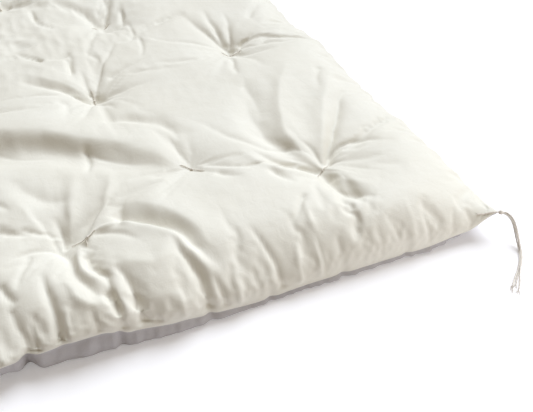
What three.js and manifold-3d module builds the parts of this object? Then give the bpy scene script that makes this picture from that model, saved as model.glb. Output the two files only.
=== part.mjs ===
// Tufted cotton futon for a baby, lying flat on the floor.
// Millimetres, +Z up. X runs across the width and Y along the length.
// The origin is on the floor under the middle of the futon.

import * as THREE from "three";
import { mergeVertices } from "three/addons/utils/BufferGeometryUtils.js";
import Module from "manifold-3d";

const wasm = await Module();
wasm.setup();

// Driving dimensions of the futon
const WIDTH = 700;
const LENGTH = 1200;
const LOFT = 66; // floor to the crown between two tufts
const EDGE_ROUNDING = 84; // how far in from the seam the filling reaches its crown
const EDGE_FULLNESS = 2.35; // exponent of the edge's rounding: 2 is a quarter of an ellipse
const CORNER_THINNING = 0.4; // share of the loft that a corner loses
const CORNER_REACH = 85; // how far in from its tip a corner is thinned
const EAR_LIFT = 36; // height of a corner's tip above the floor
const EAR_REACH = 60; // how far along an edge the underside is lifted at a corner
const TOP_COLUMNS = 50; // cells of the upper face across the width
const FRONT_ROWS = 55; // cells of the upper face along the front half of the length
const BACK_ROWS = 35;
const TUFT_DRAW = 0.42; // how strongly the mesh lines are drawn in to a tuft
const TUFT_DRAW_REACH = 52;
const CLEARANCE = 0.3; // gap between two pieces that touch

// Thread
const TIE_THREAD = 1.6; // width of the thread that ties a tuft
const TIE_KNOT = { length: 6, width: 4.6, height: 3.2 };
const TASSEL_THREAD = 1.9;
const TASSEL_STRANDS = 4;
const TASSEL_PITCH = 2.35; // from strand to strand
const TASSEL_KNOT = { length: 8, width: 10, height: 7 };

// Tufts: where each one is, how deep it is pulled and how far its dimple reaches
const TUFTS = [
  { name: "tuft_tie_1", x: 164, y: -444, depth: 15, reach: 24, turn: 25 },
  { name: "tuft_tie_2", x: -194, y: -456, depth: 13, reach: 24, turn: 8 },
  { name: "tuft_tie_3", x: -8, y: -380, depth: 5, reach: 16, turn: 60 },
  { name: "tuft_tie_4", x: 168, y: -80, depth: 15, reach: 24, turn: -35 },
  { name: "tuft_tie_5", x: -87, y: -132, depth: 14, reach: 24, turn: 80 },
  { name: "tuft_tie_6", x: -18, y: 103, depth: 14, reach: 24, turn: -10 },
  { name: "tuft_tie_7", x: 172, y: 268, depth: 15, reach: 24, turn: 40 },
  { name: "tuft_tie_8", x: -176, y: 258, depth: 15, reach: 24, turn: -50 },
  { name: "tuft_tie_9", x: 6, y: 440, depth: 15, reach: 24, turn: 15 },
];

// Underside pits under the tufts
const PIT_RADIUS = 30;
const PIT_DEPTH = 6;
const PIT_SIDES = 12;

// Flat patch in the middle of the underside, clear of the pits
const BASE_PATCH = { width: 250, length: 60 };

// The edge seam, seen from the middle of each side: how far it bulges out of the straight
// line between the corners, and how high it runs above the floor
const END_SEAM = [
  { at: -350, out: 0, high: EAR_LIFT },
  { at: -290, out: -8, high: 29 },
  { at: -239, out: -8, high: 31 },
  { at: -195, out: -7, high: 35 },
  { at: -160, out: -3, high: 26 },
  { at: -101, out: 0, high: 20 },
  { at: -55, out: -1, high: 14 },
  { at: -5, out: -3, high: 9 },
  { at: 70, out: -4.8, high: 16 },
  { at: 160, out: -3.4, high: 17 },
  { at: 242, out: -2, high: 18 },
  { at: 304, out: -1, high: 25 },
  { at: 350, out: 0, high: EAR_LIFT },
];
const SIDE_SEAM = [
  { at: -600, out: 3, high: EAR_LIFT },
  { at: -545, out: 5, high: 25 },
  { at: -480, out: 5, high: 18 },
  { at: -400, out: 0, high: 20 },
  { at: -310, out: -9, high: 24 },
  { at: -200, out: -5, high: 16 },
  { at: -110, out: -4, high: 22 },
  { at: 0, out: -18, high: 18 },
  { at: 110, out: -17, high: 25 },
  { at: 220, out: -9, high: 15 },
  { at: 330, out: -13, high: 21 },
  { at: 430, out: -3, high: 17 },
  { at: 530, out: 4, high: 22 },
  { at: 600, out: 3, high: EAR_LIFT },
];

// Underside panel from the seam to the floor: share of the seam's height that is left at each
// inset, on a straight edge and at a corner ear
const UNDERSIDE_RINGS = [
  { edgeInset: -2, edgeHeight: 0.55, earInset: 7, earHeight: 0.66 },
  { edgeInset: 1, edgeHeight: 0.16, earInset: 20, earHeight: 0.28 },
  { edgeInset: 9, edgeHeight: 0, earInset: 48, earHeight: 0 },
];

// Main folds of the upper face, each along a curve from start over middle to end. A positive
// height is a ridge and a negative one a crease. left and right say how far the fold runs out
// on either side of its line, spread widens it towards its end, and strength is its share at
// the start.
const FOLD_COLUMNS = [
  "startX", "startY", "middleX", "middleY", "endX", "endY",
  "height", "left", "right", "spread", "strength",
];
const FOLDS = [
  // the long fold across the front left
  [-337, -135, -161, -207, 0, -371, 11, 60, 30, 0.6, 0.9],
  [-341, -208, -163, -290, -17, -418, -10, 28, 44, 0.6, 0.9],
  // round the front left tuft
  [-209, -460, -220, -434, -238, -390, -5, 9, 9, 1.3, 1],
  [-200, -457, -201, -437, -206, -409, -5, 9, 9, 1.2, 1],
  [-192, -450, -182, -399, -168, -327, 5, 9, 10, 1.2, 0.5],
  [-169, -462, -142, -414, -115, -340, 6, 9, 18, 1.2, 0.7],
  [-204, -468, -192, -539, -176, -573, -8, 9, 12, 1.2, 1],
  // the crease between the two front tufts and the ridge along it
  [-120, -456, -78, -504, -48, -584, 6, 9, 14, 0.9, 0.5],
  [-114, -419, -63, -472, -26, -562, 7, 34, 13, 0.9, 0.9],
  [-126, -448, -80, -488, -37, -570, -9, 13, 9, 1, 0.8],
  [-130, -458, -124, -436, -112, -412, -5, 9, 9, 1, 0.8],
  // round the tuft near the photographed corner
  [175, -432, 235, -355, 317, -248, -8, 9, 9, 1.3, 1],
  [169, -432, 218, -342, 316, -190, 6, 14, 9, 1.6, 0.5],
  [180, -431, 220, -416, 293, -437, -6, 9, 9, 1.3, 1],
  [159, -466, 161, -512, 194, -543, -10, 9, 9, 1.2, 1],
  [161, -438, 154, -331, 247, -156, 8, 13, 34, 1, 0.7],
  [130, -397, 116, -326, 144, -203, -6, 18, 14, 0.9, 0.8],
  [153, -446, 109, -422, 77, -376, -6, 9, 9, 1, 0.8],
  // round the tufts further back
  [172, -72, 152, -19, 128, 71, -8, 14, 9, 1.2, 1],
  [171, -54, 173, -3, 177, 68, -6, 9, 9, 1, 0.8],
  [177, -62, 194, -29, 214, 44, -5, 9, 9, 1, 1],
  [182, -79, 203, -66, 229, -47, -6, 9, 9, 1, 1],
  [249, 4, 273, 35, 302, 73, -5, 9, 9, 1, 0.8],
  [156, -112, 147, -151, 142, -185, -5, 9, 9, 1, 1],
  [-93, -128, -131, -72, -203, -37, 8, 11, 26, 1.6, 1],
  [-95, -140, -142, -124, -203, -56, -8, 22, 10, 1.3, 1],
  [-87, -132, -61, -140, 35, -141, -6, 9, 14, 1.4, 1],
  [-93, -122, -97, -100, -99, -59, -5, 9, 9, 1.2, 1],
  [-111, -10, -128, -13, -150, -11, -5, 9, 12, 1, 1],
  [30, 21, 81, 51, 145, 84, -6, 9, 9, 1.2, 0.5],
  [-23, 107, -34, 138, -52, 183, -7, 9, 9, 1.2, 1],
  [-14, 107, -1, 136, 27, 190, -7, 9, 9, 1.2, 1],
  [-17, 75, 1, 71, 36, 87, -5, 9, 9, 1.2, 1],
  [-123, 162, -126, 188, -130, 219, -6, 9, 9, 1, 1],
  [-176, 74, -195, 69, -224, 63, -5, 9, 9, 1, 1],
  // round the tufts that the photograph leaves out
  [-12, 112, 8, 176, -8, 236, -6, 9, 10, 1.4, 1],
  [172, 278, 130, 330, 92, 400, -7, 9, 12, 1.6, 1],
  [180, 264, 230, 240, 300, 206, -6, 9, 10, 1.5, 1],
  [166, 262, 140, 236, 96, 220, -6, 9, 9, 1.3, 1],
  [180, 276, 220, 330, 240, 410, 5, 10, 12, 1.4, 0.6],
  [-182, 252, -222, 200, -236, 120, -7, 9, 9, 1.6, 1],
  [-172, 264, -140, 330, -150, 410, -6, 9, 12, 1.5, 1],
  [-168, 254, -120, 236, -60, 250, -6, 9, 9, 1.3, 1],
  [-184, 264, -230, 300, -290, 310, 5, 10, 12, 1.4, 0.6],
  [12, 446, 60, 470, 110, 530, -7, 9, 9, 1.6, 1],
  [0, 446, -50, 470, -96, 524, -6, 9, 9, 1.5, 1],
  [8, 432, 30, 380, 70, 330, -6, 9, 9, 1.5, 1],
  [2, 432, -40, 380, -60, 320, 5, 12, 12, 1.4, 0.6],
  [-330, 150, -270, 60, -300, -40, -5, 16, 22, 1, 0.4],
];

// Gathers of the upper panel along the front seam: where each one meets the seam, how far its
// head leans sideways, how far in it reaches, its height and how far it runs out on either side
const GATHER_COLUMNS = ["at", "lean", "reach", "height", "left", "right"];
const FRONT_GATHERS = [
  [-318, -6, 60, -6, 9, 9],
  [-298, -8, 50, 5, 9, 10],
  [-269, -11, 98, -8, 9, 9],
  [-263, 2, 33, -5, 9, 9],
  [-234, -2, 94, -11, 11, 9],
  [-226, 4, 36, 5, 9, 12],
  [-163, -13, 39, -6, 9, 9],
  [-141, -11, 73, -10, 11, 14],
  [-60, -20, 94, -9, 13, 9],
  [-39, -13, 26, -5, 9, 9],
  [36, -20, 71, -8, 9, 9],
  [58, 7, 32, 6, 9, 9],
  [88, 12, 90, 7, 9, 11],
  [92, -1, 50, -8, 9, 9],
  [154, -2, 68, -5, 14, 9],
  [203, -17, 35, -6, 9, 9],
  [208, 1, 59, 6, 9, 10],
  [226, 3, 29, -6, 9, 9],
  [248, -7, 28, -8, 9, 9],
  [280, 20, 26, -7, 9, 9],
];

// Gathers along the other three seams follow one even rhythm, made uneven by a seeded draw
const GATHER_SPACING = 46;
const GATHER_JITTER = 14;
const GATHER_HEIGHT = 5;
const GATHER_REACH = 60;
const GATHER_LEFT = 10;
const GATHER_RIGHT = 11;
const RIGHT_SIDE_SHARE = 0.4; // the right side is the smoothest

// Tassel at the corner (+X, -Y), as places of its middle line. The others are turned or
// mirrored copies. The line starts in the corner's knot and ends lying on the floor.
const TASSEL_LINE = [
  { x: 357, y: -602, z: 36 },
  { x: 363, y: -608, z: 35 },
  { x: 367, y: -616, z: 30 },
  { x: 368, y: -625, z: 21 },
  { x: 367, y: -634, z: 11 },
  { x: 365, y: -642, z: 4 },
  { x: 361, y: -650, z: 0 },
  { x: 352, y: -662, z: 0 },
  { x: 340, y: -674, z: 0 },
  { x: 326, y: -687, z: 0 },
  { x: 312, y: -702, z: 0 },
];
const TASSEL_STEPS = 16;
const TASSEL_STITCH = { length: 30, lift: 0.5 }; // thread on the corner's upper face

const halfWidth = WIDTH / 2;
const halfLength = LENGTH / 2;

const sateen = { color: 0xf1efe6, roughness: 0.62, metalness: 0 };
const thread = { color: 0xd9d0bd, roughness: 0.85, metalness: 0 };

function clamp01(value) {
  return Math.min(1, Math.max(0, value));
}

function smooth(value) {
  const t = clamp01(value);
  return t * t * (3 - 2 * t);
}

// Small seeded draw between -1 and 1
function seededDraw(seed) {
  let state = seed;
  return () => {
    state = (state * 16807) % 2147483647;
    return (state / 2147483647) * 2 - 1;
  };
}

// Reads a seam table at a place along its side, with soft steps between its rows
function readSeam(table, at) {
  let next = table.findIndex((row) => row.at >= at);
  next = next < 1 ? (next === 0 ? 1 : table.length - 1) : next;
  const before = table[next - 1];
  const after = table[next];
  const t = smooth((at - before.at) / (after.at - before.at));
  return {
    out: before.out + (after.out - before.out) * t,
    high: before.high + (after.high - before.high) * t,
  };
}

// Each side of the futon reads its own table, and opposite sides read the same one turned round
function seamAt(u, v) {
  const side = readSeam(SIDE_SEAM, u >= 0 ? v : -v);
  const end = readSeam(END_SEAM, v <= 0 ? u : -u);
  const fromSide = halfWidth - Math.abs(u);
  const fromEnd = halfLength - Math.abs(v);
  const sideShare = (fromEnd + 1e-6) / (fromSide + fromEnd + 2e-6);
  return {
    sideOut: side.out,
    endOut: end.out,
    high: side.high * sideShare + end.high * (1 - sideShare),
  };
}

// Plan place of a nominal point: the outline's bulges fade towards the middle of the futon
function planPlace(u, v) {
  const seam = seamAt(u, v);
  return {
    x: u * (1 + seam.sideOut / halfWidth),
    y: v * (1 + seam.endOut / halfLength),
  };
}

// Share of the crown that the filling has reached at a distance in from one seam
function edgeProfile(distance) {
  const left = 1 - clamp01(distance / EDGE_ROUNDING);
  return Math.pow(1 - Math.pow(left, EDGE_FULLNESS), 1 / EDGE_FULLNESS);
}

function tuftDrop(u, v) {
  return TUFTS.reduce((drop, tuft) => {
    const away = Math.hypot(u - tuft.x, v - tuft.y);
    return drop + tuft.depth * Math.exp(-Math.max(0, away - 3) / tuft.reach);
  }, 0);
}

// Height of the upper face before its folds
function crownHeight(u, v) {
  const fromSide = halfWidth - Math.abs(u);
  const fromEnd = halfLength - Math.abs(v);
  const seam = seamAt(u, v).high;
  const corner = Math.exp(-((Math.hypot(fromSide, fromEnd) / CORNER_REACH) ** 2));
  const swell = 3 * Math.sin(u / 58 + 1.1) * Math.sin(v / 74 + 0.4);
  const crown = (LOFT + swell) * (1 - CORNER_THINNING * corner) - tuftDrop(u, v);
  const share = edgeProfile(fromSide) * edgeProfile(fromEnd);
  return seam + (Math.max(crown, seam) - seam) * share;
}

// A fold as a chain of short straight pieces with its height and widths at each
function foldChain(fold) {
  const start = new THREE.Vector2(fold.startX, fold.startY);
  const middle = new THREE.Vector2(fold.middleX, fold.middleY);
  const end = new THREE.Vector2(fold.endX, fold.endY);
  const bend = middle.multiplyScalar(2).sub(start.clone().add(end).multiplyScalar(0.5));
  const steps = 12;
  return new THREE.QuadraticBezierCurve(start, bend, end).getPoints(steps).map((point, index) => {
    const t = index / steps;
    const rise = fold.strength + (1 - fold.strength) * smooth(t / 0.3);
    const spread = 1 + (fold.spread - 1) * t;
    return {
      x: point.x,
      y: point.y,
      left: fold.left * spread,
      right: fold.right * spread,
      height: fold.height * rise * (1 - t ** 2.5),
    };
  });
}

// Height that one fold adds at a nominal point
function foldHeight(chain, u, v) {
  let nearest = Infinity;
  let height = 0;
  for (let index = 1; index < chain.length; index += 1) {
    const from = chain[index - 1];
    const to = chain[index];
    const dx = to.x - from.x;
    const dy = to.y - from.y;
    const t = clamp01(((u - from.x) * dx + (v - from.y) * dy) / (dx * dx + dy * dy));
    const away = Math.hypot(u - from.x - dx * t, v - from.y - dy * t);
    if (away < nearest) {
      nearest = away;
      const side = ((v - from.y) * dx - (u - from.x) * dy) / Math.hypot(dx, dy);
      const onLeft = smooth(0.5 + side / 6);
      const left = from.left + (to.left - from.left) * t;
      const right = from.right + (to.right - from.right) * t;
      const peak = from.height + (to.height - from.height) * t;
      height = peak * Math.exp(-((away / (right + (left - right) * onLeft)) ** 2));
    }
  }
  return height;
}

// A gather as a fold that starts at its seam, runs in over the edge and narrows to its head
function gatherFold(gather, side) {
  const { at, lean, reach, height, left, right } = gather;
  const place = {
    front: (along, inward) => [along, -halfLength + inward],
    back: (along, inward) => [along, halfLength - inward],
    right: (along, inward) => [halfWidth - inward, along],
    left: (along, inward) => [-halfWidth + inward, along],
  }[side];
  const [startX, startY] = place(at, -10);
  const [middleX, middleY] = place(at + lean * 0.4, reach * 0.45);
  const [endX, endY] = place(at + lean, reach);
  return {
    startX, startY, middleX, middleY, endX, endY,
    height, left, right, spread: 0.6, strength: 1,
  };
}

function evenGathers(side, reachAlong, seed, share) {
  const draw = seededDraw(seed);
  const gathers = [];
  const last = reachAlong - GATHER_SPACING;
  for (let at = -last; at <= last; at += GATHER_SPACING / 2) {
    const sign = gathers.length % 2 === 0 ? 1 : -1;
    const height = sign * GATHER_HEIGHT * share * (0.8 + 0.35 * draw());
    const reach = GATHER_REACH * (0.95 + 0.35 * draw());
    const moved = at + (GATHER_JITTER / 2) * draw();
    const lean = 12 * draw();
    gathers.push(gatherFold({ at: moved, lean, reach, height, left: GATHER_LEFT, right: GATHER_RIGHT }, side));
  }
  return gathers;
}

function readRow(columns, row) {
  return Object.fromEntries(columns.map((column, index) => [column, row[index]]));
}

const foldChains = [
  ...FOLDS.map((row) => readRow(FOLD_COLUMNS, row)),
  ...FRONT_GATHERS.map((row) => gatherFold(readRow(GATHER_COLUMNS, row), "front")),
  ...evenGathers("right", halfLength, 11, RIGHT_SIDE_SHARE),
  ...evenGathers("left", halfLength, 23, 1),
  ...evenGathers("back", halfWidth, 37, 1),
].map(foldChain);

// Folds fade out close to the seam, where the two panels are sewn flat together
function foldShare(u, v) {
  const fromEdge = Math.min(halfWidth - Math.abs(u), halfLength - Math.abs(v));
  return smooth(fromEdge / 9);
}

function basePoint(u, v) {
  const place = planPlace(u, v);
  return new THREE.Vector3(place.x, place.y, crownHeight(u, v));
}

// Upper face with its folds, raised along the face's own normal
function topPoint(u, v) {
  const point = basePoint(u, v);
  const share = foldShare(u, v);
  if (share === 0) return point;
  const total = foldChains.reduce((sum, chain) => sum + foldHeight(chain, u, v), 0) * share;
  const step = 1.5;
  const inU = Math.min(halfWidth - step, Math.max(-halfWidth + step, u));
  const inV = Math.min(halfLength - step, Math.max(-halfLength + step, v));
  const across = basePoint(inU + step, inV).sub(basePoint(inU - step, inV));
  const along = basePoint(inU, inV + step).sub(basePoint(inU, inV - step));
  return point.addScaledVector(across.cross(along).normalize(), total);
}

// Mesh lines from one edge to the other: close together over the rounding, even between
function gridLines(half, firstCells, secondCells) {
  const rim = [0, 2.5, 8, 17, 30];
  const inner = half - rim[rim.length - 1];
  const cells = [firstCells - rim.length + 1, secondCells - rim.length + 1];
  const lines = rim.map((inset) => -half + inset);
  for (let i = 1; i <= cells[0]; i += 1) lines.push(-inner + (inner * i) / cells[0]);
  for (let i = 1; i <= cells[1]; i += 1) lines.push((inner * i) / cells[1]);
  return lines.concat(rim.slice(0, -1).map((inset) => half - inset).reverse());
}

// Draws a nominal point in towards the tufts near it, so that the dimples get more faces
function drawnIn(u, v) {
  const edge = foldShare(u, v);
  return TUFTS.reduce(
    (place, tuft) => {
      const away = Math.hypot(u - tuft.x, v - tuft.y);
      const pull = TUFT_DRAW * edge * Math.exp(-((away / TUFT_DRAW_REACH) ** 2));
      return { u: place.u + (tuft.x - u) * pull, v: place.v + (tuft.y - v) * pull };
    },
    { u, v },
  );
}

// The body: upper face, underside rings and flat base with its pits, as one closed mesh
function futonBodyGeometry() {
  const columns = gridLines(halfWidth, TOP_COLUMNS / 2, TOP_COLUMNS / 2);
  const rows = gridLines(halfLength, FRONT_ROWS, BACK_ROWS);
  const points = [];
  const triangles = [];
  const topIndex = (i, j) => j * columns.length + i;

  rows.forEach((v) => {
    columns.forEach((u) => {
      const drawn = drawnIn(u, v);
      points.push(topPoint(drawn.u, drawn.v));
    });
  });
  for (let j = 0; j < rows.length - 1; j += 1) {
    for (let i = 0; i < columns.length - 1; i += 1) {
      const [a, b] = [topIndex(i, j), topIndex(i + 1, j)];
      const [c, d] = [topIndex(i + 1, j + 1), topIndex(i, j + 1)];
      // the shorter diagonal follows the fold
      if (points[a].distanceTo(points[c]) <= points[b].distanceTo(points[d])) {
        triangles.push([a, b, c], [a, c, d]);
      } else {
        triangles.push([a, b, d], [b, c, d]);
      }
    }
  }

  // the seam ring, anticlockwise from above
  const lastColumn = columns.length - 1;
  const lastRow = rows.length - 1;
  const border = [];
  for (let i = 0; i < lastColumn; i += 1) border.push([i, 0]);
  for (let j = 0; j < lastRow; j += 1) border.push([lastColumn, j]);
  for (let i = lastColumn; i > 0; i -= 1) border.push([i, lastRow]);
  for (let j = lastRow; j > 0; j -= 1) border.push([0, j]);

  // underside rings
  let upper = border.map(([i, j]) => topIndex(i, j));
  UNDERSIDE_RINGS.forEach((ring) => {
    const lower = border.map(([i, j]) => {
      const seam = points[topIndex(i, j)];
      const toCorner = Math.hypot(halfWidth - Math.abs(columns[i]), halfLength - Math.abs(rows[j]));
      const ear = Math.exp(-((toCorner / EAR_REACH) ** 2));
      const inset = ring.edgeInset + (ring.earInset - ring.edgeInset) * ear;
      const share = ring.edgeHeight + (ring.earHeight - ring.edgeHeight) * ear;
      return points.push(new THREE.Vector3(
        seam.x * (1 - inset / halfWidth),
        seam.y * (1 - inset / halfLength),
        seam.z * share,
      )) - 1;
    });
    lower.forEach((index, k) => {
      const next = (k + 1) % lower.length;
      triangles.push([upper[k], index, lower[next]], [upper[k], lower[next], upper[next]]);
    });
    upper = lower;
  });

  // flat base: an outline with the pits and the middle patch left open, then filled one by one
  const rings = TUFTS.map((tuft) => {
    const ring = [];
    for (let k = 0; k < PIT_SIDES; k += 1) {
      const turn = (k / PIT_SIDES) * Math.PI * 2;
      const x = tuft.x + PIT_RADIUS * Math.cos(turn);
      const y = tuft.y + PIT_RADIUS * Math.sin(turn);
      ring.push(points.push(new THREE.Vector3(x, y, 0)) - 1);
    }
    return ring;
  });
  const patch = [[-1, -1], [1, -1], [1, 1], [-1, 1]].map(([sx, sy]) =>
    points.push(new THREE.Vector3((sx * BASE_PATCH.width) / 2, (sy * BASE_PATCH.length) / 2, 0)) - 1);
  const flat = (index) => new THREE.Vector2(points[index].x, points[index].y);
  const holes = [...rings, patch];
  const order = [...upper, ...holes.flat()];
  THREE.ShapeUtils.triangulateShape(upper.map(flat), holes.map((hole) => hole.map(flat)))
    .forEach(([a, b, c]) => {
      const [p, q, r] = [order[a], order[b], order[c]];
      const turn = flat(q).sub(flat(p)).cross(flat(r).sub(flat(p)));
      triangles.push(turn > 0 ? [p, r, q] : [p, q, r]);
    });
  triangles.push([patch[0], patch[2], patch[1]], [patch[0], patch[3], patch[2]]);
  rings.forEach((ring, index) => {
    const tuft = TUFTS[index];
    const deep = ring.map((outer) => {
      const x = tuft.x + (points[outer].x - tuft.x) * 0.4;
      const y = tuft.y + (points[outer].y - tuft.y) * 0.4;
      return points.push(new THREE.Vector3(x, y, PIT_DEPTH * 0.7)) - 1;
    });
    const middle = points.push(new THREE.Vector3(tuft.x, tuft.y, PIT_DEPTH)) - 1;
    ring.forEach((outer, k) => {
      const next = (k + 1) % ring.length;
      triangles.push([ring[next], outer, deep[k]], [ring[next], deep[k], deep[next]]);
      triangles.push([deep[next], deep[k], middle]);
    });
  });
  return meshGeometry(points, triangles);
}

function meshGeometry(points, triangles) {
  const geometry = new THREE.BufferGeometry();
  geometry.setAttribute("position", new THREE.Float32BufferAttribute(points.flatMap((p) => p.toArray()), 3));
  geometry.setIndex(triangles.flat());
  geometry.computeVertexNormals();
  return geometry;
}

// Square thread along a chain of points, its lower side level, closed at both ends
function threadGeometry(chain, size) {
  const points = [];
  const triangles = [];
  chain.forEach((centre, k) => {
    const ahead = chain[Math.min(k + 1, chain.length - 1)];
    const behind = chain[Math.max(k - 1, 0)];
    const forward = ahead.clone().sub(behind).normalize();
    const right = new THREE.Vector3(forward.y, -forward.x, 0).normalize();
    const up = right.clone().cross(forward);
    [[-1, -1], [1, -1], [1, 1], [-1, 1]].forEach(([side, rise]) => {
      points.push(centre.clone()
        .addScaledVector(right, (side * size) / 2)
        .addScaledVector(up, (rise * size) / 2));
    });
  });
  for (let k = 0; k < chain.length - 1; k += 1) {
    for (let s = 0; s < 4; s += 1) {
      const [a, b] = [4 * k + s, 4 * k + ((s + 1) % 4)];
      triangles.push([a, b + 4, b], [a, a + 4, b + 4]);
    }
  }
  const end = 4 * (chain.length - 1);
  triangles.push([0, 1, 2], [0, 2, 3], [end, end + 2, end + 1], [end, end + 3, end + 2]);
  return meshGeometry(points, triangles);
}

// Lumpy knot: a low ball with the given length, width and height
function knotGeometry(size) {
  const ball = new THREE.IcosahedronGeometry(0.5, 1);
  ball.scale(size.length, size.width, size.height);
  return ball;
}

function solidOf(geometry) {
  const bare = geometry.clone();
  bare.deleteAttribute("normal");
  bare.deleteAttribute("uv");
  const merged = mergeVertices(bare, 1e-4);
  const index = merged.index.array;
  return new wasm.Manifold(new wasm.Mesh({
    numProp: 3,
    vertProperties: new Float32Array(merged.attributes.position.array),
    triVerts: new Uint32Array(index),
  }));
}

function geometryOf(solid) {
  const mesh = solid.getMesh();
  const geometry = new THREE.BufferGeometry();
  geometry.setAttribute("position", new THREE.BufferAttribute(mesh.vertProperties.slice(), 3));
  geometry.setIndex(Array.from(mesh.triVerts));
  geometry.computeVertexNormals();
  return geometry;
}

function fused(geometries) {
  return geometryOf(geometries.map(solidOf).reduce((whole, solid) => whole.add(solid)));
}

const futon = new THREE.Group();

function addPiece(name, geometry, look) {
  const mesh = new THREE.Mesh(geometry, new THREE.MeshStandardMaterial(look));
  mesh.name = name;
  futon.add(mesh);
  return mesh;
}

const body = addPiece("futon_body", futonBodyGeometry(), sateen);
body.updateMatrixWorld(true);

// Height of the finished upper face at a plan place
const probe = new THREE.Raycaster();
function faceHeight(x, y) {
  probe.set(new THREE.Vector3(x, y, LOFT * 3), new THREE.Vector3(0, 0, -1));
  const hits = probe.intersectObject(body);
  return hits.length ? hits[0].point.z : 0;
}

// Highest place of the upper face within a small round patch
function highestNear(x, y, radius) {
  let highest = faceHeight(x, y);
  for (let k = 0; k < 8; k += 1) {
    const turn = (k / 8) * Math.PI * 2;
    highest = Math.max(highest, faceHeight(x + radius * Math.cos(turn), y + radius * Math.sin(turn)));
  }
  return highest;
}

// Tie of a tuft: a knot with two short free ends that lie on the slope of the dimple
function tieGeometry(tuft) {
  const turn = THREE.MathUtils.degToRad(tuft.turn);
  const knotFloor = highestNear(tuft.x, tuft.y, TIE_KNOT.length / 2) + CLEARANCE;
  const knotCentre = knotFloor + TIE_KNOT.height / 2;
  const knot = knotGeometry(TIE_KNOT);
  knot.rotateZ(turn);
  knot.translate(tuft.x, tuft.y, knotCentre);
  const ends = [{ side: 1, long: 17, bow: 3 }, { side: -1, long: 14, bow: -4 }].map((end) => {
    const chain = [];
    for (let k = 0; k <= 4; k += 1) {
      const run = end.side * (1 + (end.long - 1) * (k / 4));
      const bow = end.bow * (k / 4) ** 2;
      const x = tuft.x + run * Math.cos(turn) - bow * Math.sin(turn);
      const y = tuft.y + run * Math.sin(turn) + bow * Math.cos(turn);
      const onFace = highestNear(x, y, TIE_THREAD) + CLEARANCE + TIE_THREAD / 2;
      chain.push(new THREE.Vector3(x, y, k === 0 ? knotCentre : Math.max(onFace, knotFloor + TIE_THREAD / 2)));
    }
    return threadGeometry(chain, TIE_THREAD);
  });
  return fused([knot, ...ends]);
}

TUFTS.forEach((tuft) => addPiece(tuft.name, tieGeometry(tuft), thread));

// Tassel at one corner. sideX and sideY say which corner it hangs from.
function tasselGeometry(sideX, sideY) {
  const place = (p) => new THREE.Vector3(p.x * sideX, p.y * -sideY, p.z);
  const root = place(TASSEL_LINE[0]);
  const line = new THREE.CatmullRomCurve3(TASSEL_LINE.map(place));
  const knot = knotGeometry(TASSEL_KNOT);
  knot.rotateZ(Math.atan2(sideY, sideX));
  knot.translate(root.x, root.y, root.z);
  const pieces = [knot];
  const middle = (TASSEL_STRANDS - 1) / 2;
  for (let strand = 0; strand < TASSEL_STRANDS; strand += 1) {
    const offset = (strand - middle) * TASSEL_PITCH;
    const cut = 1 - 0.035 * ((strand * 2) % 3);
    const chain = [];
    for (let k = 0; k <= TASSEL_STEPS; k += 1) {
      const t = (cut * k) / TASSEL_STEPS;
      const centre = line.getPointAt(t);
      const forward = line.getTangentAt(t);
      const right = new THREE.Vector3(forward.y, -forward.x, 0).normalize();
      const flare = 1 + 0.5 * smooth((t - 0.7) / 0.3);
      const point = centre.addScaledVector(right, offset * flare);
      point.z = Math.max(point.z, 0) + TASSEL_THREAD / 2;
      chain.push(point);
    }
    pieces.push(threadGeometry(chain, TASSEL_THREAD));
  }
  pieces.push(stitchGeometry(root, sideX, sideY));
  return fused(pieces);
}

// Thread that runs from a tassel's knot back over the corner's upper face
function stitchGeometry(root, sideX, sideY) {
  const chain = [root.clone()];
  for (let k = 1; k <= 6; k += 1) {
    const run = 3 + (TASSEL_STITCH.length * k) / 6;
    const x = root.x - sideX * run * 0.94;
    const y = root.y - sideY * run * 0.34;
    const z = highestNear(x, y, TASSEL_THREAD) + TASSEL_STITCH.lift + TASSEL_THREAD / 2;
    chain.push(new THREE.Vector3(x, y, Math.max(z, k === 1 ? root.z : 0)));
  }
  return threadGeometry(chain, TASSEL_THREAD);
}

[[1, -1], [-1, -1], [-1, 1], [1, 1]].forEach(([sideX, sideY], index) => {
  addPiece(`corner_tassel_${index + 1}`, tasselGeometry(sideX, sideY), thread);
});

export default futon;
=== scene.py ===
import math

import bmesh
import bpy
import numpy as np
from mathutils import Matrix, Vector


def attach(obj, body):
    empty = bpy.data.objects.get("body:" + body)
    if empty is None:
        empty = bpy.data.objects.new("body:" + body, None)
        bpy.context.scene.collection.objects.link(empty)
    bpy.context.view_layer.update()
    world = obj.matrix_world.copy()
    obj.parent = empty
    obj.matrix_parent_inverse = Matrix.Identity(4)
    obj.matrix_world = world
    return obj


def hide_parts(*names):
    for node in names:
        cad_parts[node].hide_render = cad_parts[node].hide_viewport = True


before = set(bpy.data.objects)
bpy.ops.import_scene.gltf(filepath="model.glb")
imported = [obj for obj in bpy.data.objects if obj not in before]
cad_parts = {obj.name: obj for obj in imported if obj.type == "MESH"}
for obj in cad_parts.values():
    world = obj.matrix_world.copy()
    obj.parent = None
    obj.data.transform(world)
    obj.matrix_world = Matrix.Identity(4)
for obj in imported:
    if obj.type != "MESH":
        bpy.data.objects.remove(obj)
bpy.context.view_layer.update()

# Tufted cotton futon for a baby, lying flat. Shapes are worked out in millimetres and the
# meshes are written in metres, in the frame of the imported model.
mm = 0.001

# Camera first: a 50 mm lens above the front edge, looking down at the right front corner
photoCamera = {
    "place": (-0.2386, -1.1704, 0.6976),
    "pitch": 40.59,          # degrees below the horizon
    "yaw": 23.55,            # degrees to the right of straight ahead
    "lens": 50.0,
    "sensor": 36.0,
}


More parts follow.
